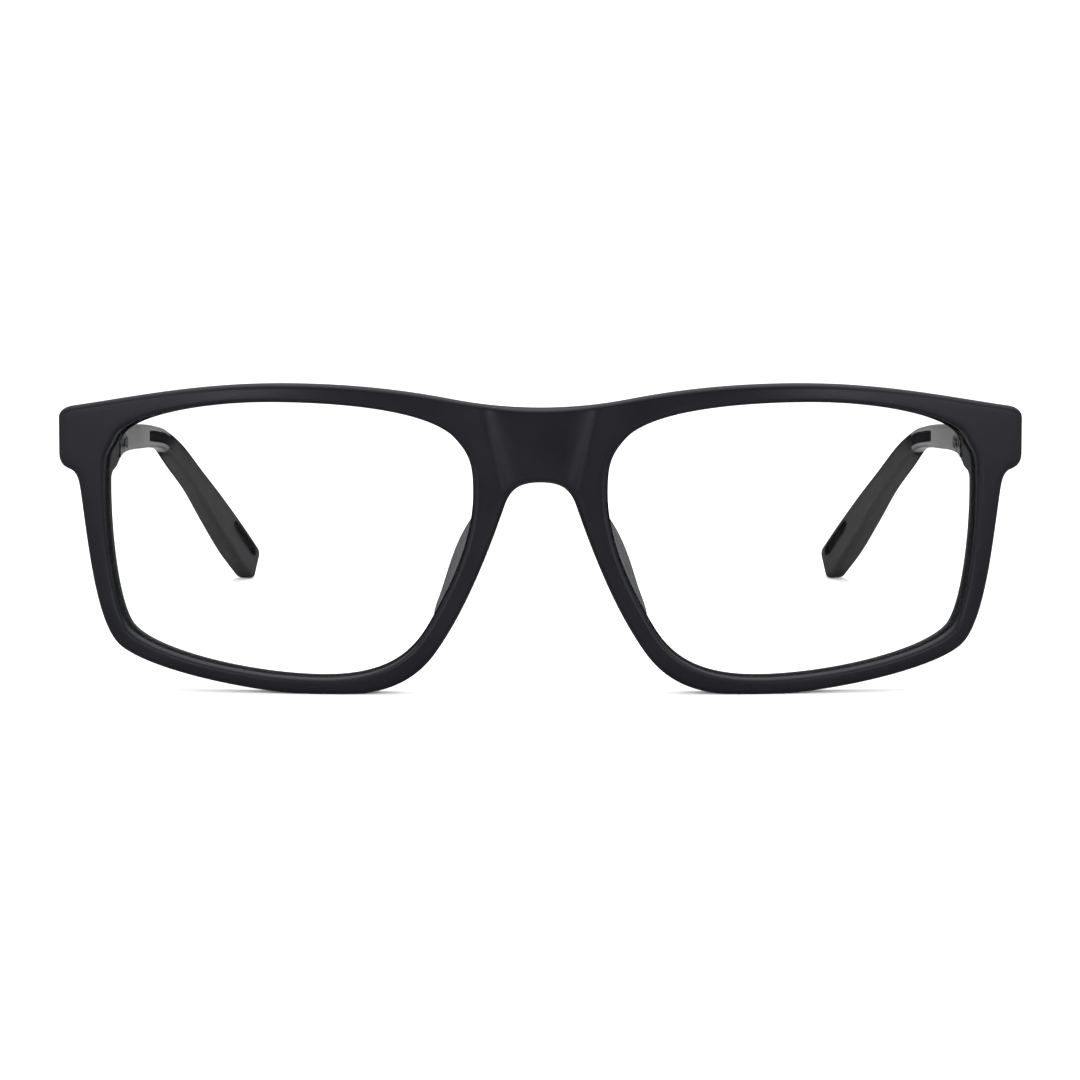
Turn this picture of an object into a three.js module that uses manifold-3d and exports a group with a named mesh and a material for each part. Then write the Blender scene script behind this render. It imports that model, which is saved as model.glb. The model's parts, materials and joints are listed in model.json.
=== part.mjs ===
// Eyeglasses: a curved plastic front with two plano lenses, and two metal temples that fold
// on five-barrel hinges and end in rubber tips.
// Millimetres, +Z up, +X the wearer's left. The front faces -Y, and the rims and both tips
// stand on z = 0.
import * as THREE from 'three';
import { mergeVertices } from 'three/addons/utils/BufferGeometryUtils.js';
import { TessellateModifier } from 'three/addons/modifiers/TessellateModifier.js';
import Module from 'manifold-3d';

const wasm = await Module();
wasm.setup();

// ---- driving dimensions -------------------------------------------------------------------
const GAP = 0.3;                // clearance between neighbouring pieces
const MID_Y = 68.4;             // distance from the bridge back to the middle of the whole object

const RIM_DEPTH = 4;            // front to back of the rims
const REST_Z = 0.25;            // the rims are flat underneath, where they stand
const BASE_RADIUS = 150;        // curve of the front, side to side
const WRAP = THREE.MathUtils.degToRad(5);
const RIM_MID_X = 36.6;
const RIM_MID_Z = 22.1;
const DROP_RADIUS = 300;        // curve of the front, top to bottom
const BRIDGE_HALF = 9;
const BRIDGE_RISE = 0.7;        // the bridge's panel stands proud of the rims in front
const BRIDGE_BACK = 1;          // and is thicker behind
const PANEL_TOP = 42.1;
const PANEL_HALF = 8.3;         // half width of the panel at its top
const PANEL_TAPER = 0.24;       // how much narrower the half gets for each millimetre down
const EDGE_ROUND = 0.9;         // rounding of the front's outer edge, in front
const BACK_ROUND = 0.5;         // and behind
const SEAT_ROUND = 0.6;         // rounding of the openings' edge, in front
const SEAT_BACK = 0.3;          // and behind
const HALFWAY = 0.29;           // how far in a quarter round's middle lies, as a share of its radius
const STRIDE = 4;               // longest step along an outline
const TURN = 15;                // most degrees that an outline turns in one step
const FRONT_FACET = 7;          // longest edge of a triangle on the front
const LENS_FACET = 9;
const SPLITS = 12;              // times that a long triangle may be halved
const WELD = 1e-4;              // points closer than this are one
const BEYOND = 20;              // reach of a cutter past the faces it opens

const GROOVE_AT = 2;            // lens groove, behind the front surface
const GROOVE_DEEP = 0.6;
const LENS_HALF = 0.9;          // half the lens thickness

const HINGE_X = 63.4;
const HINGE_Y = 13.8;
const BARREL_R = 1.3;
const SCREW_R = 0.5;
const SCREW_HEAD = { radius: 1.15, tall: 0.6, bevel: 0.2 };
const BARREL_LOW = 34.1;
const BARREL_TALL = 1.16;
const BARRELS = 5;
const HINGE_HIGH = BARREL_LOW + BARRELS * BARREL_TALL + (BARRELS - 1) * GAP;
const PLATE = 0.9;              // thickness of both hinge leaves
const FRONT_LEAF = { outer: 69, low: 33.9, high: 41.5 };
const TEMPLE_LEAF = { outer: 63.3, end: 20.8, cut: 2, rise: 1.5, drop: 2.3 };
const END_Y = 11;               // flat back of the front's endpiece
const END_BLOCK = { inner: 64.4, outer: 69.5, low: 32.9, high: 41.6, radius: 1.4, deep: 4 };
const END_SHELF = { inner: 63, outer: 65, low: 33.4, high: 41, deep: 2.6 };
const END_CUT = { inner: 62, low: 30 };  // behind END_Y the front is cut away from here out
const RIVET_R = 0.55;
const FRONT_RIVET_X = 66.8;
const TEMPLE_RIVET_Y = 18;
const RIVET_LEVELS = { front: [35.4, 39], temple: [35.6, 38.8] };
const ROUND = 16;               // sides of a small round piece
const ARC = ROUND / 2;          // sides of a half round

const SLEEVE_Y = 88;            // where the metal temple enters its rubber tip
const TONGUE_Y = 56;            // where the tip's tongue starts in the temple's inner face
const CORE_END_Y = 126;         // where the core wire stops inside the tip

// Outlines seen from the front, for x > 0. A node is x, z, heading in degrees, and the lengths
// of the handles before and after it.
const TOP_NODES = [
  [0, 42.1, 0, 0, 4.6], [13.2, 43.5, 11, 4.5, 6.3], [36.9, 45.7, 0, 9.8, 13],
  [68.8, 42, -9, 9.1, 1], [70.9, 40.2, -90, 1.1, 1.5], [70.9, 34.9, -90, 1.5, 2],
  [69, 32.5, -153, 0.4, 1], [67.7, 29.6, -98, 1.3, 7.7], [62.3, 7, -134, 4.9, 5.2],
  [32.1, 0, -180, 9.2, 5.8], [15.1, 6.4, -235, 8, 8.2], [5.1, 27.9, -251, 6.8, 2.7],
  [0, 31.2, -180, 2.8, 0],
];
const APERTURE_NODES = [
  [38.6, 42.9, 180, 11.4, 10.8], [12.15, 37.55, 228, 5.5, 3.2], [9.5, 29.6, 270, 4.2, 7.2],
  [15.9, 10.6, 300, 6, 4.4], [31.9, 2.5, 360, 10.6, 10.4], [60.7, 9.4, 408, 5.2, 3.4],
  [64.1, 29.6, 450, 7.3, 6.6], [62.4, 37.3, 473, 2.5, 3.6], [38.6, 42.9, 540, 11.4, 10.8],
];

// The temple at distance y behind the bridge: its centre x and z, half thickness, half height.
const TEMPLE = [
  { y: 12.5, x: 66.5, z: 36.5, thick: 2.9, tall: 5.1 },
  { y: 17, x: 65.9, z: 36.4, thick: 2.2, tall: 5 },
  { y: 20.5, x: 65.2, z: 36, thick: 1.8, tall: 4.1 },
  { y: 24.5, x: 64.8, z: 35.4, thick: 1.35, tall: 2.7 },
  { y: 32, x: 64.3, z: 35, thick: 1.1, tall: 2.1 },
  { y: 50, x: 63.9, z: 33.7, thick: 1.1, tall: 1.95 },
  { y: 70, x: 64.3, z: 31.9, thick: 1.1, tall: 1.8 },
  { y: 88, x: 64.5, z: 29.6, thick: 1.3, tall: 1.8 },
  { y: 98, x: 63.35, z: 26.1, thick: 1.65, tall: 2.15 },
  { y: 108, x: 61.25, z: 20.8, thick: 1.65, tall: 2.25 },
  { y: 118, x: 59, z: 14.7, thick: 1.75, tall: 2.85 },
  { y: 127, x: 56.6, z: 8.6, thick: 1.8, tall: 3.25 },
  { y: 134.5, x: 54.25, z: 3.37, thick: 1.8, tall: 3.1 },
];
const BEND = { from: 30, to: 90 };  // where the sections start and end turning to the curve
const CORNER = 0.6;             // corner radius of the temple's section, as a share of its half size
const TIP_END = 2.4;            // length of the tip's rounded end
const TIP_BLUNT = 0.45;         // size of its last section
const TIP_RINGS = [0.35, 0.65, 0.87, 1];  // where its sections lie, as shares of its length
const CORE_THICK = 0.6;
const CORE_TALL = 1;
const TONGUE_DEEP = 0.5;
const TONGUE_TALL = 0.8;
const SLOT = { from: 124, to: 134, rise: 1.2, tall: 1.15, deep: 1 };
const STEPS = { arm: 26, tip: 16, inlay: 8, slot: 4, pad: 7 };

// ---- materials ----------------------------------------------------------------------------
const finish = (color, roughness, metalness, extra = {}) =>
  new THREE.MeshStandardMaterial({ color, roughness, metalness, ...extra });
const MATERIALS = {
  plastic: finish(0x202226, 0.42, 0),
  lens: finish(0xf4f8fa, 0.03, 0, { transparent: true, opacity: 0.08 }),
  pad: finish(0x3c3c3e, 0.6, 0),
  blackSteel: finish(0x1c1d20, 0.4, 0.8),
  gunmetal: finish(0x6e6a6c, 0.35, 1),
  steel: finish(0x4a4a4c, 0.35, 1),
  rubber: finish(0x262628, 0.7, 0),
};

// ---- small helpers ------------------------------------------------------------------------
function solid(geometry) {
  const bare = geometry.clone();
  for (const name of ['normal', 'uv']) bare.deleteAttribute(name);
  const merged = mergeVertices(bare, WELD);
  const mesh = new wasm.Mesh({
    numProp: 3,
    vertProperties: Float32Array.from(merged.attributes.position.array),
    triVerts: Uint32Array.from(merged.index.array),
  });
  return new wasm.Manifold(mesh);
}

function geometryOf(body) {
  const mesh = body.getMesh();
  const geometry = new THREE.BufferGeometry();
  geometry.setAttribute('position', new THREE.BufferAttribute(mesh.vertProperties, 3));
  geometry.setIndex(new THREE.BufferAttribute(mesh.triVerts, 1));
  geometry.computeVertexNormals();
  return geometry;
}

// A box from its low and high corners.
function box(low, high) {
  const size = high.map((value, i) => value - low[i]);
  const geometry = new THREE.BoxGeometry(...size);
  geometry.translate(...low.map((value, i) => value + size[i] / 2));
  return solid(geometry);
}

// A solid of revolution about a line through `at`, along `axis`, from [radius, height] pairs.
function turned(profile, at, axis = new THREE.Vector3(0, 0, 1)) {
  const points = profile.map(([radius, height]) => new THREE.Vector2(radius, height));
  const geometry = new THREE.LatheGeometry(points, ROUND);
  const turn = new THREE.Quaternion().setFromUnitVectors(new THREE.Vector3(0, 1, 0), axis);
  geometry.applyQuaternion(turn);
  geometry.translate(...at);
  return solid(geometry);
}

// An outline in x and y with holes, raised from z = low to z = high.
function upright(shape, low, high) {
  const geometry = new THREE.ExtrudeGeometry(shape, {
    depth: high - low,
    bevelEnabled: false,
    curveSegments: ARC,
  });
  geometry.translate(0, 0, low);
  return solid(geometry);
}

// A closed skin over rings that all have the same number of points, with a fan on each end.
function loft(rings) {
  const count = rings[0].length;
  const points = rings.flat();
  const faces = [];
  for (let ring = 0; ring < rings.length - 1; ring++) {
    for (let i = 0; i < count; i++) {
      const a = ring * count + i;
      const b = ring * count + ((i + 1) % count);
      faces.push(a, b, b + count, a, b + count, a + count);
    }
  }
  for (const [ring, flip] of [[0, true], [rings.length - 1, false]]) {
    const middle = new THREE.Vector3();
    for (const point of rings[ring]) middle.addScaledVector(point, 1 / count);
    const hub = points.push(middle) - 1;
    for (let i = 0; i < count; i++) {
      const a = ring * count + i;
      const b = ring * count + ((i + 1) % count);
      faces.push(...(flip ? [b, a, hub] : [a, b, hub]));
    }
  }
  const geometry = new THREE.BufferGeometry().setFromPoints(points);
  geometry.setIndex(faces);
  return solid(geometry);
}

// The same solid on the wearer's left (side 1) or right (side -1).
const sided = (body, side) => (side > 0 ? body : body.mirror([1, 0, 0]));

// ---- rivets -------------------------------------------------------------------------------
const BACK = new THREE.Vector3(0, 1, 0);
const INBOARD = new THREE.Vector3(-1, 0, 0);
const FRONT_RIVET = { long: 4.3, head: 1, deep: 0.5, proud: 0 };
const TEMPLE_RIVET = { long: 2.4, head: 0.95, deep: 0, proud: 0.3 };
const DOME = 0.8;               // where a domed head starts to flatten, as a share of its radius
const FRONT_RIVETS = RIVET_LEVELS.front.map(
  (z) => [FRONT_RIVET_X, END_Y + GAP + PLATE - FRONT_RIVET.long, z],
);
const TEMPLE_RIVETS = RIVET_LEVELS.temple.map(
  (z) => [TEMPLE_LEAF.outer - PLATE + TEMPLE_RIVET.long, TEMPLE_RIVET_Y, z],
);

// A rivet whose shank starts at `at` and runs along `axis`. Its head is sunk or stands proud.
function rivet(at, { long, head, deep, proud }, axis) {
  const sunk = [[0, 0], [RIVET_R, 0], [RIVET_R, long - deep], [head, long], [0, long]];
  const domed = [
    [0, 0], [RIVET_R, 0], [RIVET_R, long + GAP], [head, long + GAP],
    [head * DOME, long + GAP + proud], [0, long + GAP + proud / DOME],
  ];
  return turned(proud ? domed : sunk, at, axis);
}

function rivetBore(at, { long, head, deep, proud }, axis) {
  const wide = RIVET_R + GAP;
  const past = long + 1;
  const straight = [[0, -GAP], [wide, -GAP], [wide, past], [0, past]];
  const flared = [
    [0, -GAP], [wide, -GAP], [wide, long - deep - 0.1], [head + GAP, long],
    [head + GAP, past], [0, past],
  ];
  return turned(proud ? straight : flared, at, axis);
}

// ---- outlines -----------------------------------------------------------------------------
const headed = (degrees, length) => {
  const angle = THREE.MathUtils.degToRad(degrees);
  return new THREE.Vector2(Math.cos(angle) * length, Math.sin(angle) * length);
};

// Points along an outline, with a step for every STRIDE millimetres or TURN degrees.
function traced(nodes) {
  const points = [];
  for (let i = 0; i < nodes.length - 1; i++) {
    const [startX, startZ, startHeading, , out] = nodes[i];
    const [endX, endZ, endHeading, back] = nodes[i + 1];
    const start = new THREE.Vector2(startX, startZ);
    const end = new THREE.Vector2(endX, endZ);
    const curve = new THREE.CubicBezierCurve(
      start,
      start.clone().add(headed(startHeading, out)),
      end.clone().sub(headed(endHeading, back)),
      end,
    );
    const bend = Math.abs(endHeading - startHeading);
    const steps = Math.ceil(Math.max(curve.getLength() / STRIDE, bend / TURN));
    points.push(...curve.getPoints(steps).slice(0, -1));
  }
  return points;
}

const flipped = (points) => points.map((p) => new THREE.Vector2(-p.x, p.y)).reverse();

function outerOutline() {
  const [lastX, lastZ] = TOP_NODES.at(-1);
  const half = [...traced(TOP_NODES), new THREE.Vector2(lastX, lastZ)];
  return [...half, ...flipped(half).slice(1, -1)];
}

// The outline moved to its left by a distance.
function offset(points, distance) {
  return points.map((point, i) => {
    const before = points[(i + points.length - 1) % points.length];
    const after = points[(i + 1) % points.length];
    const along = after.clone().sub(before).normalize();
    return new THREE.Vector2(point.x - along.y * distance, point.y + along.x * distance);
  });
}

// ---- the curved front ---------------------------------------------------------------------
function sag(x) {
  const bow = (u) => (u - RIM_MID_X) ** 2 / (2 * BASE_RADIUS) + Math.tan(WRAP) * (u - RIM_MID_X);
  const slope = (BRIDGE_HALF - RIM_MID_X) / BASE_RADIUS + Math.tan(WRAP);
  const across = Math.abs(x);
  if (across > BRIDGE_HALF) return bow(across);
  return bow(BRIDGE_HALF) + (slope * (across ** 2 - BRIDGE_HALF ** 2)) / (2 * BRIDGE_HALF);
}

const frontY = (x, z) => sag(x) - sag(0) + (z - RIM_MID_Z) ** 2 / (2 * DROP_RADIUS);

// The point at depth t behind the front surface, square to it.
function onFront(x, z, t) {
  const step = 0.01;
  const slopeX = (frontY(x + step, z) - frontY(x - step, z)) / (2 * step);
  const slopeZ = (frontY(x, z + step) - frontY(x, z - step)) / (2 * step);
  const inward = new THREE.Vector3(-slopeX, 1, -slopeZ).normalize();
  const half = PANEL_HALF - PANEL_TAPER * (PANEL_TOP - z);
  const crown = Math.max(0, 1 - (x / half) ** 4);
  const back = t / RIM_DEPTH;
  const depth = t + crown * (back * BRIDGE_BACK - (1 - back) * BRIDGE_RISE);
  return new THREE.Vector3(x, frontY(x, z), z).addScaledVector(inward, depth);
}

// A plate between outlines in the flat, bent onto the front. Each edge has a profile of
// [distance into the material, depth] pairs, from the front face to the back one, and the
// material lies to the left of each outline.
function bentPlate(edges, longest) {
  const points = [];
  const faces = [];
  const caps = [[], []];
  for (const { outline, profile } of edges) {
    const start = points.length;
    const count = outline.length;
    profile.forEach(([into, t], ring) => {
      const moved = offset(outline, into);
      for (const p of moved) points.push(new THREE.Vector3(p.x, t, p.y));
      if (ring === 0) caps[0].push(moved.map((p, i) => ({ p, index: start + i })));
      if (ring === profile.length - 1) {
        caps[1].push(moved.map((p, i) => ({ p, index: start + ring * count + i })));
      }
    });
    for (let ring = 0; ring < profile.length - 1; ring++) {
      for (let i = 0; i < count; i++) {
        const a = start + ring * count + i;
        const b = start + ring * count + ((i + 1) % count);
        faces.push(a, b + count, b, a, a + count, b + count);
      }
    }
  }
  caps.forEach((loops, side) => {
    const indices = loops.flat().map(({ index }) => index);
    const [contour, ...holes] = loops.map((loop) => loop.map(({ p }) => p));
    for (const [a, b, c] of THREE.ShapeUtils.triangulateShape(contour, holes)) {
      const face = [indices[a], indices[b], indices[c]];
      faces.push(...(side === 0 ? face : face.reverse()));
    }
  });
  const flat = new THREE.BufferGeometry().setFromPoints(points);
  flat.setIndex(faces);
  const fine = new TessellateModifier(longest, SPLITS).modify(flat.toNonIndexed());
  const position = fine.attributes.position;
  for (let i = 0; i < position.count; i++) {
    const bent = onFront(position.getX(i), position.getZ(i), position.getY(i));
    position.setXYZ(i, bent.x, bent.y, bent.z);
  }
  return solid(fine);
}

// The thickened end of the front that carries the hinge, on the wearer's left.
function endBlocks() {
  const rounded = new THREE.Shape();
  const { inner, outer, low, high, radius, deep } = END_BLOCK;
  rounded.moveTo(inner, low);
  rounded.lineTo(outer - radius, low);
  rounded.absarc(outer - radius, low + radius, radius, -Math.PI / 2, 0, false);
  rounded.absarc(outer - radius, high - radius, radius, 0, Math.PI / 2, false);
  rounded.lineTo(inner, high);
  const block = new THREE.ExtrudeGeometry(rounded, {
    depth: deep,
    bevelEnabled: false,
    curveSegments: ARC / 2,
  });
  block.rotateX(Math.PI / 2);
  block.translate(0, END_Y, 0);
  const shelf = box(
    [END_SHELF.inner, END_Y - END_SHELF.deep, END_SHELF.low],
    [END_SHELF.outer, END_Y, END_SHELF.high],
  );
  return [solid(block), shelf];
}

function frameFront() {
  const middle = EDGE_ROUND * HALFWAY;
  const edge = [
    [EDGE_ROUND, 0], [middle, middle], [0, EDGE_ROUND], [0, RIM_DEPTH - BACK_ROUND],
    [BACK_ROUND, RIM_DEPTH],
  ];
  const seat = [
    [SEAT_ROUND, 0], [0, SEAT_ROUND], [0, GROOVE_AT - GROOVE_DEEP], [GROOVE_DEEP, GROOVE_AT],
    [0, GROOVE_AT + GROOVE_DEEP], [0, RIM_DEPTH - SEAT_BACK], [SEAT_BACK, RIM_DEPTH],
  ];
  const hole = traced(APERTURE_NODES).reverse();
  let body = bentPlate([
    { outline: outerOutline().reverse(), profile: edge },
    { outline: hole, profile: seat },
    { outline: flipped(hole), profile: seat },
  ], FRONT_FACET);
  const cuts = [
    box(
      [END_CUT.inner, END_Y, END_CUT.low],
      [END_CUT.inner + BEYOND, END_Y + BEYOND, END_CUT.low + BEYOND],
    ),
    box([0, -BEYOND, -BEYOND], [2 * RIM_MID_X, BEYOND, REST_Z]),
    ...FRONT_RIVETS.map((at) => rivetBore(at, FRONT_RIVET, BACK)),
    ...padPegs().map(({ at, inward }) => turned(PEG_BORE, at, inward)),
  ];
  for (const side of [1, -1]) {
    for (const block of endBlocks()) body = body.add(sided(block, side));
    for (const cut of cuts) body = body.subtract(sided(cut, side));
  }
  return body;
}

function lens() {
  const profile = [
    [GAP, GROOVE_AT - LENS_HALF], [GAP, GROOVE_AT - GROOVE_DEEP],
    [GAP - GROOVE_DEEP, GROOVE_AT], [GAP, GROOVE_AT + GROOVE_DEEP],
    [GAP, GROOVE_AT + LENS_HALF],
  ];
  return bentPlate([{ outline: traced(APERTURE_NODES), profile }], LENS_FACET);
}

// ---- nose pads ----------------------------------------------------------------------------
// Each pad runs down the back of the nasal rim: x, z, half width, height and outward splay.
const PAD = [
  { x: 7.8, z: 27.2, wide: 0.7, tall: 1, splay: 0.1 },
  { x: 8.2, z: 25, wide: 1.35, tall: 2.4, splay: 0.9 },
  { x: 9.35, z: 21.4, wide: 1.7, tall: 3.6, splay: 1.5 },
  { x: 10.75, z: 17.9, wide: 1.75, tall: 3.9, splay: 1.4 },
  { x: 12.35, z: 14.4, wide: 1.55, tall: 3.4, splay: 1 },
  { x: 13.95, z: 11.3, wide: 1.35, tall: 2.2, splay: 0.6 },
  { x: 15, z: 9.6, wide: 0.7, tall: 0.9, splay: 0.1 },
];
const PEG_R = 0.6;
const PEG_LONG = 1.4;
const PEG_ROOT = 0.4;           // length of the peg inside the pad
const PEG_PROFILE = [[0, 0], [PEG_R, 0], [PEG_R, PEG_LONG], [0, PEG_LONG]];
const PEG_BORE = [
  [0, -GAP], [PEG_R + GAP, -GAP], [PEG_R + GAP, PEG_LONG + 1], [0, PEG_LONG + 1],
];

function padPegs() {
  return [PAD[2], PAD[4]].map(({ x, z }) => {
    const at = onFront(x, z, RIM_DEPTH + GAP + PEG_ROOT - PEG_LONG);
    const inward = onFront(x, z, RIM_DEPTH).sub(onFront(x, z, 0)).normalize();
    return { at, inward };
  });
}

function nosePad() {
  const rings = PAD.map(({ x, z, wide, tall, splay }, i) => {
    const before = PAD[Math.max(i - 1, 0)];
    const after = PAD[Math.min(i + 1, PAD.length - 1)];
    const down = new THREE.Vector2(after.x - before.x, after.z - before.z).normalize();
    const ring = [];
    for (let step = 0; step <= STEPS.pad; step++) {
      const angle = (Math.PI * step) / STEPS.pad;
      const out = wide * Math.cos(angle) + splay * Math.sin(angle);
      const t = RIM_DEPTH + GAP + tall * Math.sin(angle);
      ring.push(onFront(x - down.y * out, z + down.x * out, t));
    }
    return ring;
  });
  let pad = loft(rings.map((ring) => ring.reverse()));
  for (const { at, inward } of padPegs()) pad = pad.add(turned(PEG_PROFILE, at, inward));
  return pad;
}

// ---- hinge --------------------------------------------------------------------------------
const barrelLow = (index) => BARREL_LOW + index * (BARREL_TALL + GAP);

// One barrel with its web running to y = reach, in front of the pin or behind it.
function knuckle(index, reach) {
  const shape = new THREE.Shape();
  const behind = reach > HINGE_Y;
  shape.absarc(HINGE_X, HINGE_Y, BARREL_R, behind ? Math.PI : 0, behind ? 2 * Math.PI : Math.PI);
  shape.lineTo(HINGE_X + (behind ? BARREL_R : -BARREL_R), reach);
  shape.lineTo(HINGE_X - (behind ? BARREL_R : -BARREL_R), reach);
  shape.holes.push(new THREE.Path().absarc(HINGE_X, HINGE_Y, SCREW_R + GAP, 0, 2 * Math.PI, true));
  return upright(shape, barrelLow(index), barrelLow(index) + BARREL_TALL);
}

function frontLeaf() {
  const face = END_Y + GAP;
  let leaf = box(
    [HINGE_X - BARREL_R, face, FRONT_LEAF.low],
    [FRONT_LEAF.outer, face + PLATE, FRONT_LEAF.high],
  );
  for (const index of [0, 2, 4]) leaf = leaf.add(knuckle(index, face + PLATE / 2));
  for (const at of FRONT_RIVETS) leaf = leaf.subtract(rivetBore(at, FRONT_RIVET, BACK));
  return leaf;
}

function templeLeaf() {
  const start = HINGE_Y + BARREL_R + GAP;
  const { outer, end, cut, rise, drop } = TEMPLE_LEAF;
  const outline = new THREE.Shape([
    new THREE.Vector2(start, BARREL_LOW), new THREE.Vector2(end - cut, BARREL_LOW),
    new THREE.Vector2(end, BARREL_LOW + rise), new THREE.Vector2(end, HINGE_HIGH - drop),
    new THREE.Vector2(end - cut, HINGE_HIGH), new THREE.Vector2(start, HINGE_HIGH),
  ]);
  const sheet = new THREE.ExtrudeGeometry(outline, { depth: PLATE, bevelEnabled: false });
  sheet.rotateY(Math.PI / 2).rotateX(Math.PI / 2);
  sheet.translate(outer - PLATE, 0, 0);
  let leaf = solid(sheet);
  for (const index of [1, 3]) leaf = leaf.add(knuckle(index, start + GAP));
  for (const at of TEMPLE_RIVETS) leaf = leaf.subtract(rivetBore(at, TEMPLE_RIVET, INBOARD));
  return leaf;
}

function hingeScrew() {
  const under = HINGE_HIGH + GAP;
  const { radius, tall, bevel } = SCREW_HEAD;
  const profile = [
    [0, BARREL_LOW], [SCREW_R, BARREL_LOW], [SCREW_R, under], [radius, under],
    [radius, under + tall - bevel], [radius - bevel, under + tall], [0, under + tall],
  ];
  return turned(profile, [HINGE_X, HINGE_Y, 0]);
}

// ---- temples ------------------------------------------------------------------------------
const placeCurve = new THREE.CatmullRomCurve3(TEMPLE.map(({ x, y, z }) => new THREE.Vector3(x, y, z)));
const sizeCurve = new THREE.CatmullRomCurve3(
  TEMPLE.map(({ thick, y, tall }) => new THREE.Vector3(thick, y, tall)),
);

// How far along the temple's curve, from 0 to 1, it reaches the distance y.
function reaching(y) {
  let [low, high] = [0, 1];
  for (let i = 0; i < 30; i++) {
    const middle = (low + high) / 2;
    if (placeCurve.getPoint(middle).y < y) low = middle;
    else high = middle;
  }
  return low;
}

// The temple's cross-section frame: centre, outboard and upward directions, and half sizes.
function station(u) {
  const centre = placeCurve.getPoint(u);
  const size = sizeCurve.getPoint(u);
  const bend = THREE.MathUtils.smoothstep(centre.y, BEND.from, BEND.to);
  const along = new THREE.Vector3(0, 1, 0).lerp(placeCurve.getTangent(u), bend).normalize();
  const out = along.clone().cross(new THREE.Vector3(0, 0, 1)).normalize();
  const up = out.clone().cross(along);
  return { centre, along, out, up, thick: size.x, tall: size.z };
}

const placed = ({ centre, out, up }, across, rise) =>
  centre.clone().addScaledVector(out, across).addScaledVector(up, rise);

// A rounded rectangle, 12 points, in the frame of a station.
function roundedRing(frame, thick, tall) {
  const ring = [];
  const radius = Math.min(thick, tall) * CORNER;
  for (let corner = 0; corner < 4; corner++) {
    for (const turn of [0, 1, 2]) {
      const angle = (Math.PI / 2) * (corner + turn / 2);
      const across = Math.sign(Math.cos(Math.PI / 4 + (corner * Math.PI) / 2)) * (thick - radius);
      const rise = Math.sign(Math.sin(Math.PI / 4 + (corner * Math.PI) / 2)) * (tall - radius);
      ring.push(placed(
        frame, across + radius * Math.cos(angle), rise + radius * Math.sin(angle),
      ));
    }
  }
  return ring;
}

function stations(fromY, toY, count) {
  const [from, to] = [reaching(fromY), reaching(toY)];
  return Array.from({ length: count + 1 }, (_, i) => station(from + ((to - from) * i) / count));
}

// A square-cornered bar let into the inner face: its depth, half height and rise.
function inlay(fromY, toY, count, { outside, deep, tall, rise }) {
  const rings = stations(fromY, toY, count).map((frame) => {
    const face = -frame.thick - outside;
    const corners = [
      [face, rise - tall], [face + outside + deep, rise - tall],
      [face + outside + deep, rise + tall], [face, rise + tall],
    ];
    return corners.map(([across, up]) => placed(frame, across, up));
  });
  return loft(rings.map((ring) => ring.reverse()));
}

const core = (spare, fromY, toY) =>
  loft(stations(fromY, toY, STEPS.inlay).map((frame) =>
    roundedRing(frame, CORE_THICK + spare, CORE_TALL + spare).reverse()));

function templeArm() {
  const rings = stations(TEMPLE[0].y, SLEEVE_Y, STEPS.arm).map((frame) =>
    roundedRing(frame, frame.thick, frame.tall).reverse());
  const room = BARREL_R + GAP;
  let arm = loft(rings).add(core(0, SLEEVE_Y - 1, CORE_END_Y));
  const [low, high] = [BARREL_LOW - GAP, HINGE_HIGH + BEYOND];
  const notch = [[0, low], [room, low], [room, high], [0, high]];
  const cuts = [
    turned(notch, [HINGE_X, HINGE_Y, 0]),
    box([HINGE_X - 2 * room, END_Y, low], [HINGE_X + room, HINGE_Y + room + 2 * GAP, high]),
    ...TEMPLE_RIVETS.map((at) => rivetBore(at, TEMPLE_RIVET, INBOARD)),
    inlay(TONGUE_Y - GAP, SLEEVE_Y + GAP, STEPS.inlay, {
      outside: 1, deep: TONGUE_DEEP + GAP, tall: TONGUE_TALL + GAP, rise: 0,
    }),
  ];
  for (const cut of cuts) arm = arm.subtract(cut);
  return arm;
}

function templeTip() {
  const start = SLEEVE_Y + GAP;
  const rings = stations(start, TEMPLE.at(-1).y, STEPS.tip).map((frame) =>
    roundedRing(frame, frame.thick, frame.tall).reverse());
  const last = station(1);
  for (const part of TIP_RINGS) {
    const shrink = TIP_BLUNT + (1 - TIP_BLUNT) * Math.sqrt(1 - part ** 2);
    const centre = last.centre.clone().addScaledVector(last.along, TIP_END * part);
    const frame = { ...last, centre };
    rings.push(roundedRing(frame, last.thick * shrink, last.tall * shrink).reverse());
  }
  let tip = loft(rings);
  tip = tip.add(inlay(TONGUE_Y, start + 5 * GAP, STEPS.inlay, {
    outside: 0, deep: TONGUE_DEEP, tall: TONGUE_TALL, rise: 0,
  }));
  tip = tip.subtract(core(GAP, start - 1, CORE_END_Y + GAP));
  return tip.subtract(inlay(SLOT.from, SLOT.to, STEPS.slot, { outside: 1, ...SLOT }));
}

// ---- the object ---------------------------------------------------------------------------
const eyeglasses = new THREE.Group();
eyeglasses.position.set(0, -MID_Y, -REST_Z);

function place(name, body, material) {
  const mesh = new THREE.Mesh(geometryOf(body), MATERIALS[material]);
  mesh.name = name;
  eyeglasses.add(mesh);
}

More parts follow.
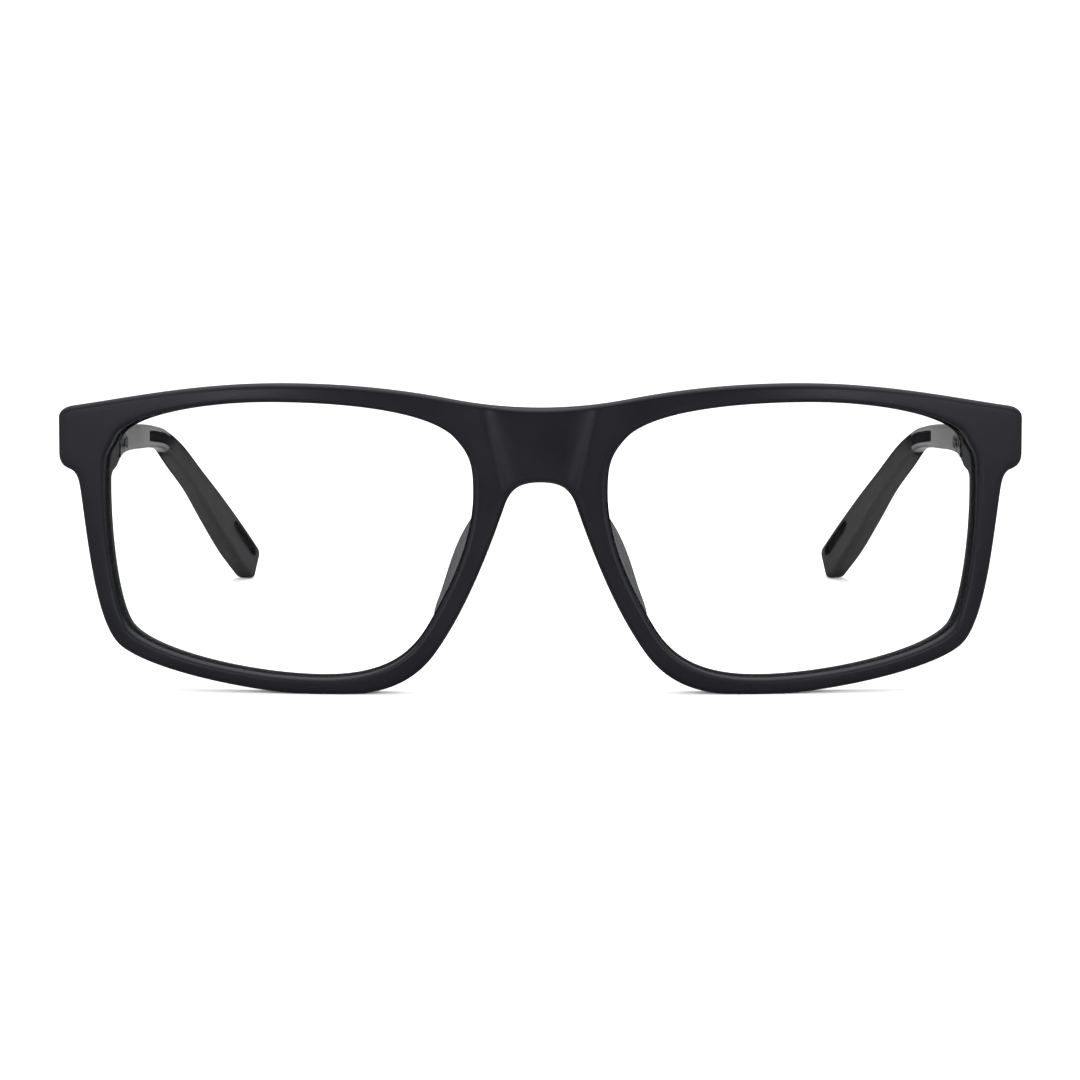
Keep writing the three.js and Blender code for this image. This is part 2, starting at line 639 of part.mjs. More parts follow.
place('frame_front', frameFront(), 'plastic');
for (const [name, side] of [['left', 1], ['right', -1]]) {
  const put = (part, body, material) => place(`${part}_${name}`, sided(body, side), material);
  put('lens', lens(), 'lens');
  put('nose_pad', nosePad(), 'pad');
  put('hinge_front_leaf', frontLeaf(), 'blackSteel');
  put('hinge_temple_leaf', templeLeaf(), 'blackSteel');
  put('hinge_screw', hingeScrew(), 'steel');
  put('temple_arm', templeArm(), 'gunmetal');
  put('temple_tip', templeTip(), 'rubber');
  for (const [i, level] of ['lower', 'upper'].entries()) {
    put(`front_rivet_${level}`, rivet(FRONT_RIVETS[i], FRONT_RIVET, BACK), 'steel');
    put(`temple_rivet_${level}`, rivet(TEMPLE_RIVETS[i], TEMPLE_RIVET, INBOARD), 'steel');
  }
}

export default eyeglasses;
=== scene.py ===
"""Eyeglasses with a satin black front, clear lenses, gunmetal temples and rubber tips.

Sizes below are in millimetres in the design's own frame: x is the wearer's left, y runs back from
the bridge, and z is up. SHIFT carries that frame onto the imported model, and placed() turns it into
metres.
"""
import json
import math

import bpy
import numpy as np
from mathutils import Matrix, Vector
from mathutils.geometry import delaunay_2d_cdt


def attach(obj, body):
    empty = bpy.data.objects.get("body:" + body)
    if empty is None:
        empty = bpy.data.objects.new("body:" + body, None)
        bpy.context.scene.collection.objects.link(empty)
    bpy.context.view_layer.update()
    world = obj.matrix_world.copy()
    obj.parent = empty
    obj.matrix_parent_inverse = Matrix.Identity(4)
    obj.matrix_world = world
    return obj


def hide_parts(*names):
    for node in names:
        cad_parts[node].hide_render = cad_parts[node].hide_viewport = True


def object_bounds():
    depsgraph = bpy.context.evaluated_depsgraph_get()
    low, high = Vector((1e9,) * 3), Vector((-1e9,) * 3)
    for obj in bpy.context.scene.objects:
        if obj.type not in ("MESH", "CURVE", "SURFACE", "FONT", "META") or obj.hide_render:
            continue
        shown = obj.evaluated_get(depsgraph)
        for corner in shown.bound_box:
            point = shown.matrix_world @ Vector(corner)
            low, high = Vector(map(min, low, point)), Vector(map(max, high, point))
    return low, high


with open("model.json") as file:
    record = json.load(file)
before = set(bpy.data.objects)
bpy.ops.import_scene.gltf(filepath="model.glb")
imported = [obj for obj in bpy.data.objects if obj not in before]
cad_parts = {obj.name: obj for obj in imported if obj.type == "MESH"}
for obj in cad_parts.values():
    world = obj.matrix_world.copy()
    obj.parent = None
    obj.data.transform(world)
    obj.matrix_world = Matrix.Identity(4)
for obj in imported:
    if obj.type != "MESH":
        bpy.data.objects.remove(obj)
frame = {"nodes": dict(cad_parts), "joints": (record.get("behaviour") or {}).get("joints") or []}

cad_low, cad_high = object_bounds()

# ---- sizes --------------------------------------------------------------------------------
MM = 0.001
RIM_DEPTH = 4.0
BASE_RADIUS = 150.0
WRAP = math.tan(math.radians(5))
RIM_MID_X = 36.6
RIM_MID_Z = 22.1
DROP_RADIUS = 300.0
BRIDGE_HALF = 9.0
BRIDGE_RISE = 0.7
BRIDGE_BACK = 1.0
PANEL_TOP = 42.1    # the bridge's raised panel: its top, half width there, and taper downwards
PANEL_HALF = 8.3
PANEL_TAPER = 0.24
REST_Z = 0.25       # the rims are flat underneath
GROOVE_AT = 2.0
GROOVE_DEEP = 0.6
LENS_HALF = 0.9
GAP = 0.3
HINGE = (63.4, 13.8, 37.25)
BARREL_R = 1.3
BARREL_LOW = 34.1
END_Y = 11.0
SLEEVE_Y = 88.0
TONGUE_Y = 56.0
TONGUE_DEEP = 0.5
TONGUE_TALL = 0.8
CLOSE = 0.12        # gap between neighbours that look as if they touch
SNUG = 0.02         # gap between the lens and the rim's groove

STEP = 0.6          # spacing of points along the front's outlines
GRID = 0.62         # spacing of points across its faces
LENS_STEP = 1.0     # the same two for the lenses
LENS_GRID = 2.2
ROW_PITCH = 0.87    # height of a row of even triangles, as a share of their spacing
EDGE_CLEAR = 0.6    # nearest that a point across a face comes to its outline, likewise
SLOPE_STEP = 0.01   # distance over which the front's slope is measured

# Rounds on the front's edges: radius and steps, at its outline and at the lens openings.
OUTER_ROUND = (0.95, 7)
OUTER_BACK_ROUND = (0.55, 5)
SEAT_ROUND = (0.6, 5)
SEAT_BACK_ROUND = (0.35, 3)

# The hinge seats: where the back of the front starts and ends stepping out, across and upwards,
# and the depth from which it does.
SEAT_X = (62.6, 63.9)
SEAT_Z = (31.9, 33.3)
SEAT_DEPTH = 2.9

SHIFT = np.array(frame["joints"][0]["pos_m"]) / MM - np.array(HINGE)

# Outlines for x > 0, seen from the front: x, z, heading in degrees, handle before, handle after.
TOP_NODES = [
    (0, 42.1, 0, 0, 4.6), (13.2, 43.5, 11, 4.5, 6.3), (36.9, 45.7, 0, 9.8, 13),
    (68.8, 42, -9, 9.1, 1), (70.9, 40.2, -90, 1.1, 1.5), (70.9, 34.9, -90, 1.5, 2),
    (69, 32.5, -153, 0.4, 1), (67.7, 29.6, -98, 1.3, 7.7), (62.3, 7, -134, 4.9, 5.2),
    (32.1, 0, -180, 9.2, 5.8), (15.1, 6.4, -235, 8, 8.2), (5.1, 27.9, -251, 6.8, 2.7),
    (0, 31.2, -180, 2.8, 0),
]
APERTURE_NODES = [
    (38.6, 42.9, 180, 11.4, 10.8), (12.15, 37.55, 228, 5.5, 3.2), (9.5, 29.6, 270, 4.2, 7.2),
    (15.9, 10.6, 300, 6, 4.4), (31.9, 2.5, 360, 10.6, 10.4), (60.7, 9.4, 408, 5.2, 3.4),
    (64.1, 29.6, 450, 7.3, 6.6), (62.4, 37.3, 473, 2.5, 3.6), (38.6, 42.9, 540, 11.4, 10.8),
]

# The temple at distance y: centre x and z, half thickness, half height.
TEMPLE = np.array([
    (12.5, 66.5, 36.5, 2.9, 5.1), (17, 65.9, 36.4, 2.2, 5), (20.5, 65.2, 36, 1.8, 4.1),
    (24.5, 64.8, 35.4, 1.35, 2.7), (32, 64.3, 35, 1.1, 2.1), (50, 63.9, 33.7, 1.1, 1.95),
    (70, 64.3, 31.9, 1.1, 1.8), (88, 64.5, 29.6, 1.3, 1.8), (98, 63.35, 26.1, 1.65, 2.15),
    (108, 61.25, 20.8, 1.65, 2.25), (118, 59, 14.7, 1.75, 2.85), (127, 56.6, 8.6, 1.8, 3.25),
    (134.5, 54.25, 3.37, 1.8, 3.1),
])
TIP_END = 2.4
TIP_BLUNT = 0.42    # size of the tip's last section
TIP_STEPS = 8       # sections in the tip's rounded end
STATIONS = 90       # cross-sections along a temple's metal or its tip
BEND = (30, 90)     # where the sections start and end turning to follow the temple's curve
CORNER = 0.6        # corner radius of a section, as a share of its smaller half size
TIP_CORNER = 0.48   # the same further along the tip
CORNER_STEPS = 7
LIP = {"shares": (1.0, 0.6, 0.25), "shrink": 0.11, "ahead": 0.3}  # round on the sleeve's mouth
TONGUE_FACE = 0.04  # the tongue's face lies this far under the temple's
RECESS_PAST = 0.5   # how far the tongue's recess runs past the sleeve's mouth
TONGUE_ROOT = 1.5   # how far the tongue runs into the tip
CUT_PROUD = 1.0     # how far a cutter stands out of the face that it opens
METAL_BEVEL = 0.14
RUBBER_BEVEL = 0.12
BAR_STEPS = 40
SLOT_STEPS = 24
SLOT = {"start": 124, "end": 134, "rise": 1.2, "tall": 1.15, "deep": 1.0}
SLOT_END = 0.12     # height left at the slot's two ends, as a share of the middle's
SLOT_FULLNESS = 6   # power of the curve that rounds those ends

# The nose pad down the back of the rim: x, z, half width, height, outward splay.
PAD = np.array([
    (7.8, 27.2, 0.7, 1, 0.1), (8.2, 25, 1.35, 2.4, 0.9), (9.35, 21.4, 1.7, 3.6, 1.5),
    (10.75, 17.9, 1.75, 3.9, 1.4), (12.35, 14.4, 1.55, 3.4, 1), (13.95, 11.3, 1.35, 2.2, 0.6),
    (15, 9.6, 0.7, 0.9, 0.1),
])


# ---- materials ----------------------------------------------------------------------------
class Finish:
    """A principled material and a short way to add nodes to it."""

    def __init__(self, name, **sockets):
        self.material = bpy.data.materials.new(name)
        self.material.use_nodes = True
        self.nodes = self.material.node_tree.nodes
        self.links = self.material.node_tree.links
        self.shader = self.nodes["Principled BSDF"]
        for socket, value in sockets.items():
            self.shader.inputs[socket.replace("_", " ")].default_value = value

    def add(self, kind, inputs=None, **settings):
        node = self.nodes.new(kind)
        for key, value in settings.items():
            setattr(node, key, value)
        for key, value in (inputs or {}).items():
            if isinstance(value, bpy.types.NodeSocket):
                self.links.new(value, node.inputs[key])
            else:
                node.inputs[key].default_value = value
        return node

    def place(self, stretch=(1, 1, 1)):
        """Object coordinates in millimetres, stretched."""
        where = self.add("ShaderNodeTexCoord").outputs["Object"]
        scale = [1 / MM * s for s in stretch]
        return self.add("ShaderNodeMapping", {"Vector": where, "Scale": scale}).outputs["Vector"]

    def noise(self, where, scale, detail=4.0):
        inputs = {"Vector": where, "Scale": scale, "Detail": detail}
        return self.add("ShaderNodeTexNoise", inputs).outputs["Fac"]

    def between(self, factor, low, high):
        inputs = {"Value": factor, "From Min": 0.3, "From Max": 0.7, "To Min": low, "To Max": high}
        return self.add("ShaderNodeMapRange", inputs).outputs["Result"]

    def shade(self, factor, dark, light):
        ramp = self.add("ShaderNodeValToRGB", {"Fac": factor})
        ramp.color_ramp.elements[0].position = 0.3
        ramp.color_ramp.elements[1].position = 0.7
        ramp.color_ramp.elements[0].color = (*dark, 1)
        ramp.color_ramp.elements[1].color = (*light, 1)
        return ramp.outputs["Color"]

    def bump(self, height, strength, distance):
        inputs = {"Height": height, "Strength": strength, "Distance": distance * MM}
        return self.add("ShaderNodeBump", inputs).outputs["Normal"]

    def fading_gloss(self, level):
        """Specular level at face-on view, fading to nothing at a glancing angle."""
        facing = self.add("ShaderNodeLayerWeight", {"Blend": 0.5}).outputs["Facing"]
        inputs = {"Value": facing, "From Max": 0.78, "To Min": level, "To Max": 0.0}
        return self.add("ShaderNodeMapRange", inputs).outputs["Result"]

    def painted_top_highlight(self, color, highlight_color):
        """Painted highlight: the colour turns to a lighter one where the surface faces up, standing
        in for light from above.
        """
        normal = self.add("ShaderNodeNewGeometry").outputs["Normal"]
        up = self.add("ShaderNodeSeparateXYZ", {"Vector": normal}).outputs["Z"]
        share = self.add("ShaderNodeMapRange", {"Value": up, "From Min": 0.35, "From Max": 0.9})
        mix = self.add("ShaderNodeMix", data_type="RGBA")
        self.links.new(share.outputs["Result"], mix.inputs["Factor"])
        self.links.new(color, mix.inputs[6])
        mix.inputs[7].default_value = (*highlight_color, 1)
        return mix.outputs[2]

    def feed(self, **sources):
        for socket, source in sources.items():
            self.links.new(source, self.shader.inputs[socket.replace("_", " ")])


def satin_plastic():
    finish = Finish("satin_black_plastic", Specular_Tint=(0.93, 0.92, 1, 1))
    where = finish.place()
    clouds = finish.noise(where, 0.12, 3)
    grain = finish.noise(where, 9, 2)
    black = finish.shade(clouds, (0.0022, 0.0022, 0.0032), (0.0032, 0.0032, 0.0043))
    finish.feed(
        # painted highlight: faces turned upwards get a lighter grey, as if lit from above
        Base_Color=finish.painted_top_highlight(black, (0.028, 0.028, 0.031)),
        Roughness=finish.between(clouds, 0.27, 0.34),
        Specular_IOR_Level=finish.fading_gloss(0.078),
        Normal=finish.bump(grain, 0.10, 0.02),
    )
    return finish.material


def clear_lens():
    """Nearly invisible face on, and a soft mirror at a glancing angle."""
    finish = Finish("clear_coated_lens")
    see_through = finish.add("ShaderNodeBsdfTransparent", {"Color": (0.99, 0.995, 0.992, 1)})
    smear = finish.between(finish.noise(finish.place(), 0.1, 3), 0.02, 0.06)
    shine = finish.add(
        "ShaderNodeBsdfGlossy", {"Color": (0.86, 0.95, 0.93, 1), "Roughness": smear},
    )
    facing = finish.add("ShaderNodeLayerWeight", {"Blend": 0.5}).outputs["Facing"]
    steep = finish.add("ShaderNodeMath", {0: facing, 1: 5}, operation="POWER").outputs[0]
    graze = finish.add("ShaderNodeMath", {0: steep, 1: 0.8, 2: 0.0015}, operation="MULTIPLY_ADD")
    mix = finish.add("ShaderNodeMixShader", {
        0: graze.outputs[0], 1: see_through.outputs[0], 2: shine.outputs[0],
    })
    output = finish.nodes["Material Output"]
    finish.links.new(mix.outputs[0], output.inputs["Surface"])
    finish.nodes.remove(finish.shader)
    return finish.material


def ground_edge():
    """The lens's ground rim, which shows the plastic groove behind it."""
    finish = Finish("ground_lens_edge")
    frost = finish.shade(finish.noise(finish.place(), 3, 4), (0.6, 0.62, 0.62), (0.8, 0.82, 0.81))
    see_through = finish.add("ShaderNodeBsdfTransparent", {"Color": frost})
    output = finish.nodes["Material Output"]
    finish.links.new(see_through.outputs[0], output.inputs["Surface"])
    finish.nodes.remove(finish.shader)
    return finish.material


def elastomer(name, dark, light, rough, gloss, grain_size):
    finish = Finish(name)
    where = finish.place()
    clouds = finish.noise(where, 0.3, 4)
    grain = finish.noise(where, grain_size, 3)
    finish.feed(
        Base_Color=finish.shade(clouds, dark, light),
        Roughness=finish.between(clouds, rough - 0.04, rough + 0.06),
        Specular_IOR_Level=finish.fading_gloss(gloss),
        Normal=finish.bump(grain, 0.25, 0.03),
    )
    return finish.material


def brushed_metal(name, dark, light, rough, stretch):
    """Metal with fine brush lines along the axis whose stretch is the smallest."""
    finish = Finish(name, Metallic=1.0, Specular_Tint=(0.4, 0.4, 0.4, 1))
    lines = finish.noise(finish.place(stretch), 5, 3)
    clouds = finish.noise(finish.place(), 0.15, 3)
    finish.feed(
        Base_Color=finish.shade(clouds, dark, light),
        Roughness=finish.between(lines, rough - 0.05, rough + 0.08),
        Normal=finish.bump(lines, 0.12, 0.02),
    )
    return finish.material


def plated_black():
    finish = Finish("black_plated_steel", Metallic=0.85, Specular_Tint=(0.25, 0.25, 0.25, 1))
    where = finish.place()
    wear = finish.noise(where, 1.2, 5)
    finish.feed(
        Base_Color=finish.shade(wear, (0.006, 0.006, 0.007), (0.014, 0.014, 0.016)),
        Roughness=finish.between(wear, 0.3, 0.42),
        Normal=finish.bump(finish.noise(where, 6, 2), 0.1, 0.02),
    )
    return finish.material


def pale_floor():
    finish = Finish("pale_floor", Roughness=0.85, Specular_IOR_Level=0.1)
    clouds = finish.noise(finish.place(), 0.004, 2)
    finish.feed(Base_Color=finish.shade(clouds, (0.89, 0.89, 0.895), (0.91, 0.91, 0.91)))
    return finish.material


PLASTIC = satin_plastic()
LENS = clear_lens()
LENS_EDGE = ground_edge()
PAD_RUBBER = elastomer(
    "nose_pad_elastomer", (0.034, 0.033, 0.036), (0.046, 0.044, 0.048), 0.42, 0.3, 5,
)
TIP_RUBBER = elastomer(
    "tip_elastomer", (0.0038, 0.0035, 0.0043), (0.0066, 0.0060, 0.0072), 0.42, 0.12, 6,
)
GUNMETAL = brushed_metal(
    "gunmetal", (0.108, 0.102, 0.106), (0.138, 0.130, 0.135), 0.36, (3, 0.08, 3),
)
STEEL = brushed_metal(
    "screw_steel", (0.025, 0.025, 0.026), (0.04, 0.04, 0.042), 0.34, (3, 3, 0.4),
)
BLACK_STEEL = plated_black()


# ---- meshes -------------------------------------------------------------------------------
def placed(points):
    """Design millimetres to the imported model's metres."""
    return (np.asarray(points, float) + SHIFT) * MM


def sided(points, side):
    """The same points on the wearer's left (side 1) or right (side -1)."""
    return np.asarray(points, float) * (side, 1, 1)


def make_object(name, points, faces, material, sharp=35):
    mesh = bpy.data.meshes.new(name)
    mesh.from_pydata([tuple(p) for p in placed(points)], [], [tuple(f) for f in faces])
    mesh.validate()
    mesh.polygons.foreach_set("use_smooth", [True] * len(mesh.polygons))
    mesh.set_sharp_from_angle(angle=math.radians(sharp))
    mesh.materials.append(material)
    piece = bpy.data.objects.new(name, mesh)
    bpy.context.scene.collection.objects.link(piece)
    return piece


def finished(piece, node, body):
    """The piece stands for a CAD node and rides on its body."""
    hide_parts(node)
    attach(piece, body)


def mirrored(faces, side):
    return faces if side > 0 else [tuple(reversed(face)) for face in faces]


def sided_object(name, shape, side, material, sharp=35):
    """A left or right piece from points and faces made for the wearer's left."""
    points, faces = shape
    return make_object(name, sided(points, side), mirrored(faces, side), material, sharp)


def skin(rings):
    """Faces over rings of equal length, with a fan over each end."""
    rings = np.asarray(rings, float)
    rows, count = rings.shape[:2]
    points = rings.reshape(-1, 3)
    faces = []
    for row in range(rows - 1):
        for i in range(count):
            a, b = row * count + i, row * count + (i + 1) % count
            faces.append((a, b, b + count, a + count))
    hubs = [rings[0].mean(0), rings[-1].mean(0)]
    hub = rows * count
    last = (rows - 1) * count
    faces += [((i + 1) % count, i, hub) for i in range(count)]
    faces += [(last + i, last + (i + 1) % count, hub + 1) for i in range(count)]
    return np.vstack([points, hubs]), faces


def applied(piece, sharp=35):
    """The piece's mesh with its modifiers applied."""
    depsgraph = bpy.context.evaluated_depsgraph_get()
    mesh = bpy.data.meshes.new_from_object(piece.evaluated_get(depsgraph), depsgraph=depsgraph)
    piece.modifiers.clear()
    piece.data = mesh
    mesh.polygons.foreach_set("use_smooth", [True] * len(mesh.polygons))
    mesh.set_sharp_from_angle(angle=math.radians(sharp))


def carve(piece, cutters, operation="DIFFERENCE"):
    """Cuts the piece with closed meshes, or joins them to it, and removes them."""
    for cutter in cutters:
        cut = piece.modifiers.new("cut", "BOOLEAN")
        cut.operation = operation
        cut.solver = "EXACT"
        cut.object = cutter
    bpy.context.view_layer.update()
    applied(piece)
    for cutter in cutters:
        bpy.data.objects.remove(cutter)


def soften(piece, width, segments=3, angle=30):
    """A small round on every edge sharper than the angle."""
    bevel = piece.modifiers.new("round", "BEVEL")
    bevel.width = width * MM
    bevel.segments = segments
    bevel.limit_method = "ANGLE"
    bevel.angle_limit = math.radians(angle)
    bevel.harden_normals = True


# ---- outlines -----------------------------------------------------------------------------
def heading(degrees):
    angle = math.radians(degrees)
    return np.array((math.cos(angle), math.sin(angle)))


def traced(nodes, step):
    """Points along an outline, about a step apart."""
    points = []
    for start, end in zip(nodes, nodes[1:]):
        a, d = np.array(start[:2], float), np.array(end[:2], float)
        b = a + start[4] * heading(start[2])
        c = d - end[3] * heading(end[2])
        length = np.linalg.norm(b - a) + np.linalg.norm(c - b) + np.linalg.norm(d - c)
        t = np.linspace(0, 1, max(3, round(length / step)), endpoint=False)[:, None]
        points.append(
            (1 - t) ** 3 * a + 3 * (1 - t) ** 2 * t * b + 3 * (1 - t) * t**2 * c + t**3 * d
        )
    return np.vstack(points)


def flipped(points):
    return (points * (-1, 1))[::-1]


def outer_outline(step):
    half = np.vstack([traced(TOP_NODES, step), TOP_NODES[-1][:2]])
    return np.vstack([half, flipped(half)[1:-1]])[::-1]


def offset(points, distance):
    """The closed outline moved to its left."""
    along = np.roll(points, -1, 0) - np.roll(points, 1, 0)
    along /= np.linalg.norm(along, axis=1)[:, None]
    return points + distance * np.stack([-along[:, 1], along[:, 0]], 1)


# ---- the curved front ---------------------------------------------------------------------
def smooth(low, high, value):
    t = np.clip((value - low) / (high - low), 0, 1)
    return t * t * (3 - 2 * t)


def sag(x):
    def bow(u):
        return (u - RIM_MID_X) ** 2 / (2 * BASE_RADIUS) + WRAP * (u - RIM_MID_X)

    across = np.abs(x)
    slope = (BRIDGE_HALF - RIM_MID_X) / BASE_RADIUS + WRAP
    inner = bow(BRIDGE_HALF) + slope * (across**2 - BRIDGE_HALF**2) / (2 * BRIDGE_HALF)
    return np.where(across > BRIDGE_HALF, bow(across), inner)


def front_y(x, z):
    return sag(x) - sag(0.0) + (z - RIM_MID_Z) ** 2 / (2 * DROP_RADIUS)


def crown(x, z):
    """1 along the middle of the bridge's raised panel, falling to 0 at its creased sides."""
    half = PANEL_HALF - PANEL_TAPER * (PANEL_TOP - z)
    return np.clip(1 - (x / half) ** 4, 0, 1)


def on_front(x, z, t, seated=False):
    """Points at depth t behind the front surface, square to it.

    Where the front is seated, its back steps out to the flat hinge seats at y = END_Y.
    """
    x, z, t = (np.asarray(v, float) for v in (x, z, t))
    step = SLOPE_STEP
    slope_x = (front_y(x + step, z) - front_y(x - step, z)) / (2 * step)
    slope_z = (front_y(x, z + step) - front_y(x, z - step)) / (2 * step)
    inward = np.stack([-slope_x, np.ones_like(x + z), -slope_z], -1)
    inward /= np.linalg.norm(inward, axis=-1)[..., None]
    surface = front_y(x, z)
    if seated:
        seat = (END_Y - surface) / inward[..., 1]
        share = smooth(*SEAT_X, np.abs(x)) * smooth(*SEAT_Z, z)
        past = np.clip(t - SEAT_DEPTH, 0, None) / (RIM_DEPTH - SEAT_DEPTH)
        t = t + past * share * np.clip(seat - RIM_DEPTH, 0, None)
    back = t / RIM_DEPTH
    rise = crown(x, z)
    depth = t + rise * (back * BRIDGE_BACK - (1 - back) * BRIDGE_RISE)
    point = np.stack([x + 0 * z, surface, z + 0 * x], -1) + inward * depth[..., None]
    if seated:
        point[..., 2] = np.maximum(point[..., 2], REST_Z)
    return point


def inside(loops, points):
    """Which points lie inside an odd number of the closed loops."""
    odd = np.zeros(len(points), bool)
    x, z = points[:, 0], points[:, 1]
    for loop in loops:
        nxt = np.roll(loop, -1, 0)
        for (ax, az), (bx, bz) in zip(loop, nxt):
            if az == bz:
                continue
            crosses = (az > z) != (bz > z)
            odd ^= crosses & (x < (bx - ax) * (z - az) / (bz - az) + ax)
    return odd


def filled(loops, spacing):
    """Even triangles over the area between closed loops: the points, and faces with x-z CCW."""
    low = np.vstack(loops).min(0)
    high = np.vstack(loops).max(0)
    rows = np.arange(low[1], high[1], spacing * ROW_PITCH)
    grid = [
        (x, z)
        for i, z in enumerate(rows)
        for x in np.arange(low[0] + (i % 2) * spacing / 2, high[0], spacing)
    ]
    grid = np.array(grid)
    grid = grid[inside(loops, grid)]
    edge_points = np.vstack(loops)
    clear = np.empty(len(grid), bool)
    batch = 500
    for start in range(0, len(grid), batch):
        part = grid[start:start + batch]
        gaps = np.linalg.norm(part[:, None] - edge_points[None], axis=2).min(1)
        clear[start:start + batch] = gaps > spacing * EDGE_CLEAR
    points = np.vstack([edge_points, grid[clear]])
    edges, start = [], 0
    for loop in loops:
        count = len(loop)
        edges += [(start + i, start + (i + 1) % count) for i in range(count)]
        start += count
    result = delaunay_2d_cdt([Vector(p) for p in points], edges, [], 0, 1e-7)
    source = [ids[0] for ids in result[3]]
    faces = np.array([[source[i] for i in face] for face in result[2]])
    middle = points[faces].mean(1)
    faces = faces[inside(loops, middle)]
    a, b, c = (points[faces[:, i]] for i in range(3))
    turned = (b - a)[:, 0] * (c - a)[:, 1] - (b - a)[:, 1] * (c - a)[:, 0]
    faces[turned < 0] = faces[turned < 0][:, ::-1]
    return points, faces


def bent_plate(edges, spacing, seated=False):
    """A plate on the front's curve. Each edge is an outline with the material on its left and a
    profile of (distance into the material, depth) from the front face to the back one."""
    flat, faces = [], []
    ends = [[], []]
    total = 0
    for outline, profile in edges:
        count = len(outline)
        for ring, (into, t) in enumerate(profile):
            moved = offset(outline, into)
            flat.append(np.column_stack([moved, np.full(count, t)]))
            if ring in (0, len(profile) - 1):
                ends[ring > 0].append((moved, total + ring * count))
        for ring in range(len(profile) - 1):
            for i in range(count):
                a = total + ring * count + i
                b = total + ring * count + (i + 1) % count
                faces.append((a, a + count, b + count, b))
        total += count * len(profile)
    for side, loops in enumerate(ends):
        depth = edges[0][1][-side][1]
        points, cap = filled([loop for loop, _ in loops], spacing)
        ids = np.concatenate([np.arange(len(loop)) + start for loop, start in loops])
        extra = points[len(ids):]
        ids = np.concatenate([ids, total + np.arange(len(extra))])
        flat.append(np.column_stack([extra, np.full(len(extra), depth)]))
        total += len(extra)
        cap = ids[cap]
        faces += [tuple(f) for f in (cap if side == 0 else cap[:, ::-1])]
    flat = np.vstack(flat)
    return on_front(flat[:, 0], flat[:, 1], flat[:, 2], seated), faces


def rounded(radius, steps):
    """A quarter round from the front face (distance radius) to the wall (distance 0)."""
    angles = np.linspace(0, math.pi / 2, steps + 1)
    return [(radius * (1 - math.sin(a)), radius * (1 - math.cos(a))) for a in angles]


def behind(profile):
    """The same profile on the back face, from the wall outwards."""
    return [(into, RIM_DEPTH - t) for into, t in reversed(profile)]


def frame_front():
    outer = outer_outline(STEP)
    hole = traced(APERTURE_NODES, STEP)[::-1]
    groove = [
        (0, GROOVE_AT - GROOVE_DEEP), (GROOVE_DEEP, GROOVE_AT), (0, GROOVE_AT + GROOVE_DEEP),
    ]
    edge = rounded(*OUTER_ROUND) + behind(rounded(*OUTER_BACK_ROUND))
    seat = rounded(*SEAT_ROUND) + groove + behind(rounded(*SEAT_BACK_ROUND))
    points, faces = bent_plate([(outer, edge), (hole, seat), (flipped(hole), seat)], GRID, True)
    piece = make_object("front", points, faces, PLASTIC, 42)
    finished(piece, "frame_front", "front")


def lens(name, side):
    profile = [
        (SNUG, GROOVE_AT - LENS_HALF), (SNUG, GROOVE_AT - GROOVE_DEEP),
        (SNUG - GROOVE_DEEP, GROOVE_AT), (SNUG, GROOVE_AT + GROOVE_DEEP),
        (SNUG, GROOVE_AT + LENS_HALF),
    ]
    outline = traced(APERTURE_NODES, LENS_STEP)
    plate = bent_plate([(outline, profile)], LENS_GRID)
    piece = sided_object(f"lens_{name}_clear", plate, side, LENS, 30)
    piece.data.materials.append(LENS_EDGE)
    edge_faces = len(outline) * (len(profile) - 1)
    for polygon in piece.data.polygons[:edge_faces]:
        polygon.material_index = 1
    finished(piece, f"lens_{name}", "front")


# ---- curves through rows ------------------------------------------------------------------
def through(points, u):
    """The centripetal Catmull-Rom curve through points, at u from 0 to 1."""
    last = len(points) - 1
    place = np.clip(np.atleast_1d(u), 0, 1) * last
    index = np.minimum(place.astype(int), last - 1)
    weight = (place - index)[:, None]
    before = np.where((index == 0)[:, None], 2 * points[0] - points[1], points[index - 1])
    after_index = np.minimum(index + 2, last)
    end = 2 * points[last] - points[last - 1]
    after = np.where((index + 2 > last)[:, None], end, points[after_index])
    p1, p2 = points[index], points[index + 1]

    def span(a, b):
        return np.maximum(((b - a) ** 2).sum(1) ** 0.25, 1e-4)[:, None]

    d0, d1, d2 = span(before, p1), span(p1, p2), span(p2, after)
    t1 = ((p1 - before) / d0 - (p2 - before) / (d0 + d1) + (p2 - p1) / d1) * d1
    t2 = ((p2 - p1) / d1 - (after - p1) / (d1 + d2) + (after - p2) / d2) * d1
    w = weight
    return (
        (2 * p1 - 2 * p2 + t1 + t2) * w**3 + (-3 * p1 + 3 * p2 - 2 * t1 - t2) * w**2 + t1 * w + p1
    )


# ---- nose pads ----------------------------------------------------------------------------
def nose_pad(name, side):
    rows = through(PAD, np.linspace(0, 1, 25))
    down = np.gradient(rows[:, :2], axis=0)
    down /= np.linalg.norm(down, axis=1)[:, None]
    dome = np.linspace(0, math.pi, 15)
    fullness = 0.8
    rings = []
    for (x, z, wide, tall, splay), (dx, dz) in zip(rows, down):
        out = wide * np.cos(dome) + splay * np.sin(dome)
        t = RIM_DEPTH + CLOSE + (tall + GAP - CLOSE) * np.sin(dome) ** fullness
        rings.append(on_front(x - dz * out, z + dx * out, t)[::-1])
    piece = sided_object(f"nose_pad_{name}_soft", skin(rings), side, PAD_RUBBER, 60)
    finished(piece, f"nose_pad_{name}", "front")
    smooth_skin = piece.modifiers.new("smooth", "SUBSURF")
    smooth_skin.levels = smooth_skin.render_levels = 1


